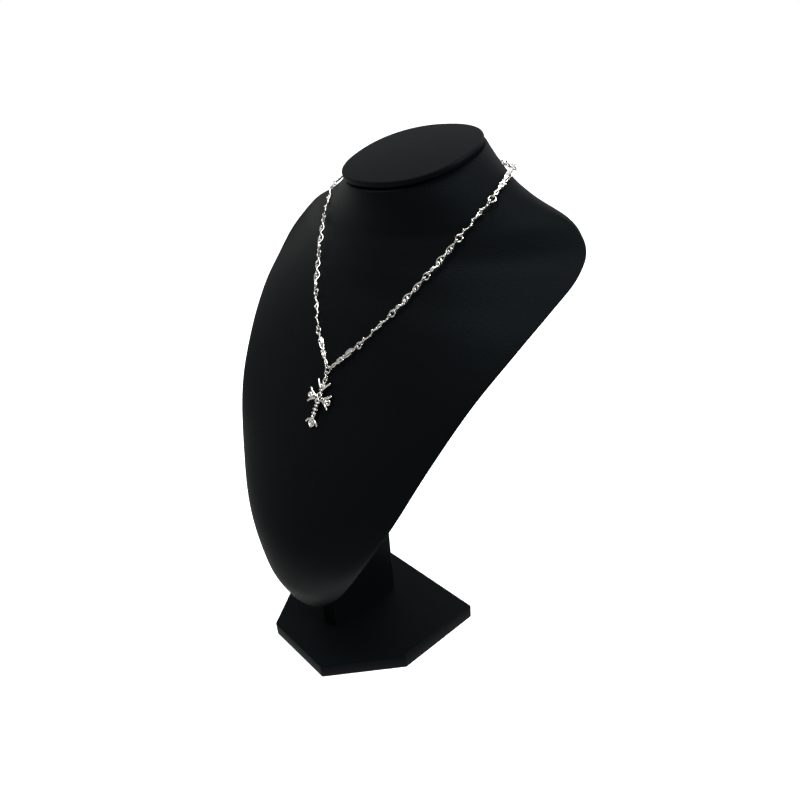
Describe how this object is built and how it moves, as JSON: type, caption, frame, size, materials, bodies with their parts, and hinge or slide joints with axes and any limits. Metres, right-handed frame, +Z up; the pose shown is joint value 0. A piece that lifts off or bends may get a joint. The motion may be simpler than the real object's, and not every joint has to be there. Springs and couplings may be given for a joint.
{
  "type": "cross necklace on neck bust",
  "caption": "Silver gothic cross pendant on a chain of cast leaf and thorn links, shown on a black leatherette neck bust that stands on a post and base.",
  "frame": {"origin": "middle of the underside of the base plate", "axes": "+Z up, the chest and the cross look towards -Y, +X is to the right of someone who looks at the front (towards +Y)"},
  "size_m": [0.282, 0.1931, 0.3629],
  "materials": {
    "leatherette": "fine-grained black leatherette with a soft sheen",
    "silver": "polished sterling silver, oxidised dark in its recesses"
  },
  "bodies": {
    "root": {"base_plate": "leatherette", "post": "leatherette", "bust": "leatherette", "neck_cap": "leatherette", "centre_ring": "silver", "bail": "silver", "cross_pendant": "silver", "clasp": "silver", "ring_1_right": "silver", "ring_2_right": "silver", "ring_3_right": "silver", "ring_4_right": "silver", "ring_5_right": "silver", "ring_6_right": "silver", "ring_7_right": "silver", "ring_8_right": "silver", "ring_1_left": "silver", "ring_2_left": "silver", "ring_3_left": "silver", "ring_4_left": "silver", "ring_5_left": "silver", "ring_6_left": "silver", "ring_7_left": "silver", "ring_8_left": "silver", "leaf_link_1_right": "silver", "thorn_link_2_right": "silver", "leaf_link_3_right": "silver", "leaf_link_4_right": "silver", "thorn_link_5_right": "silver", "leaf_link_6_right": "silver", "leaf_link_7_right": "silver", "thorn_link_8_right": "silver", "leaf_link_1_left": "silver", "thorn_link_2_left": "silver", "leaf_link_3_left": "silver", "leaf_link_4_left": "silver", "thorn_link_5_left": "silver", "leaf_link_6_left": "silver", "leaf_link_7_left": "silver", "thorn_link_8_left": "silver"}
  },
  "joints": []
}
